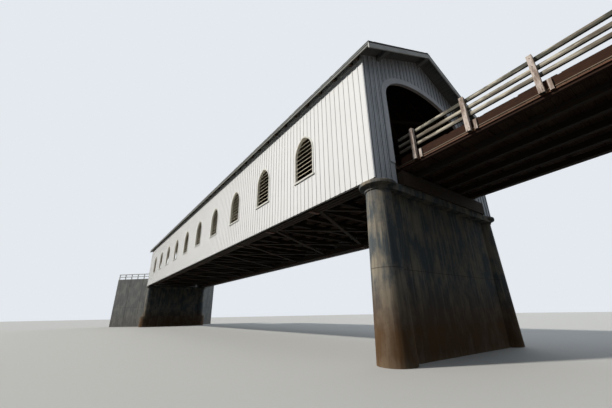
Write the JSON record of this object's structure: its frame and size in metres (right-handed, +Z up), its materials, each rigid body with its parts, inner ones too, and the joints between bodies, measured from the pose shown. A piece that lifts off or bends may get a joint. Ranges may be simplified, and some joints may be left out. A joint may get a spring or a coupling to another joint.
{
  "type": "covered bridge 1:2 scale model",
  "caption": "Covered timber truss bridge with board siding, pointed louvred windows and arched portals, on twin-column concrete piers with a railed approach and winged abutment.",
  "frame": {"origin": "centre of the near pier's foot, at the water line", "axes": "+X along the bridge towards the near approach, -Y to the upstream side in the sun, +Z up"},
  "size_m": [35.2661, 8.676, 7.54],
  "materials": {
    "concrete": "board-formed concrete, stained",
    "white_siding": "weathered white paint",
    "portal_siding": "weathered white paint",
    "roof_shingles": "weathered shingles",
    "grey_trim": "weathered grey paint",
    "pale_trim": "weathered cream paint",
    "brown_deck": "stained timber",
    "dark_timber": "rough sawn timber",
    "iron_rods": "dull iron"
  },
  "bodies": {
    "root": {"angle_blocks": "dark_timber", "approach_bent": "dark_timber", "approach_bolster": "dark_timber", "approach_curbs": "brown_deck", "approach_deck": "brown_deck", "approach_posts": "pale_trim", "approach_rails": "pale_trim", "approach_sleepers": "brown_deck", "approach_stringers": "dark_timber", "arch_trim": "pale_trim", "bearing_planks": "dark_timber", "bent_braces": "dark_timber", "bottom_chords": "dark_timber", "braces_downstream": "dark_timber", "braces_upstream": "dark_timber", "curb_blocks": "brown_deck", "deck": "dark_timber", "eave_fascias": "grey_trim", "end_posts": "dark_timber", "far_abutment": "concrete", "far_footing": "concrete", "far_pier": "concrete", "far_portal_wall": "portal_siding", "floor_beams": "dark_timber", "girts": "dark_timber", "lookouts": "pale_trim", "louvres_downstream": "grey_trim", "louvres_upstream": "grey_trim", "lower_laterals": "dark_timber", "near_abutment": "concrete", "near_pier": "concrete", "near_portal_wall": "portal_siding", "pier_caps": "concrete", "rafters": "dark_timber", "rake_boards": "pale_trim", "ridge_board": "dark_timber", "ridge_cap": "roof_shingles", "roof_downstream": "roof_shingles", "roof_upstream": "roof_shingles", "side_wall_downstream": "white_siding", "side_wall_upstream": "white_siding", "stringers": "dark_timber", "tie_beams": "dark_timber", "top_chords": "dark_timber", "truss_rods": "iron_rods", "upper_laterals": "dark_timber", "wheel_guards": "dark_timber", "window_trim": "pale_trim", "wing_posts": "pale_trim", "wing_rails": "pale_trim", "wing_walls": "concrete"}
  },
  "joints": []
}
